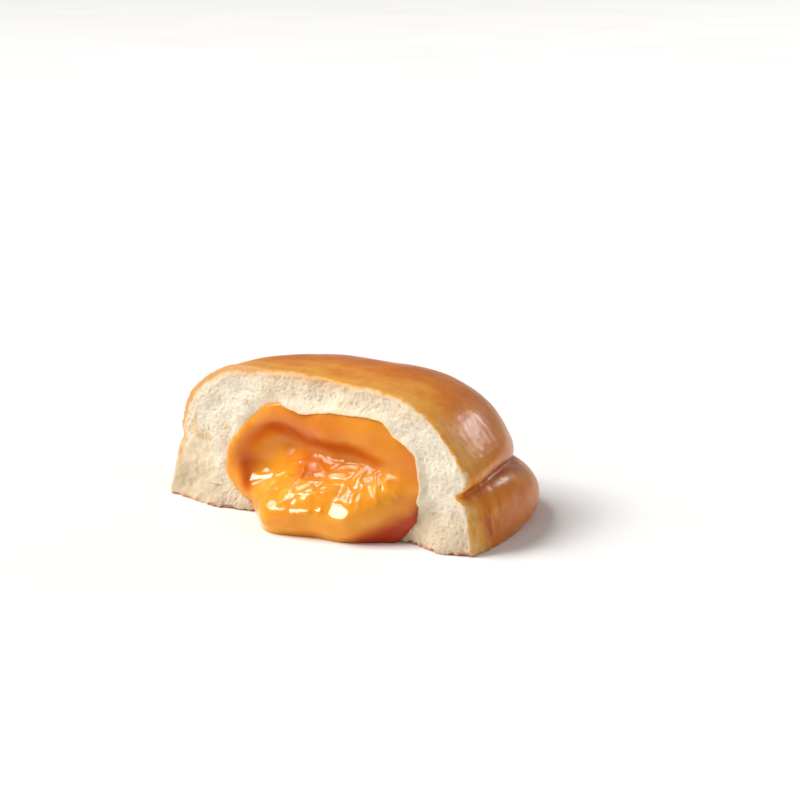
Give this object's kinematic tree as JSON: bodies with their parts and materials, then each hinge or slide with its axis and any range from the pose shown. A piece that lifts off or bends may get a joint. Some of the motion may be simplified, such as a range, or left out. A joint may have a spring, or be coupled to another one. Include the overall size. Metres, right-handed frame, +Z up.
{
  "type": "kaya bun half",
  "caption": "Torn half of a soft baked bun: glossy browned crust with a side fold, fibrous white crumb, and thick amber kaya jam running out of its pocket.",
  "frame": {"origin": "centre of the flat base, halfway between the torn face and the back of the dome", "axes": "+X along the torn face, to the right as seen from the front; +Y from the torn face to the back crust; +Z up"},
  "size_m": [0.1017, 0.0744, 0.042],
  "materials": {
    "bread": "egg-washed golden brown crust over soft off-white crumb",
    "jam": "wet, glossy, slightly translucent amber jam"
  },
  "bodies": {
    "root": {"bread": "bread", "kaya_jam": "jam"}
  },
  "joints": []
}
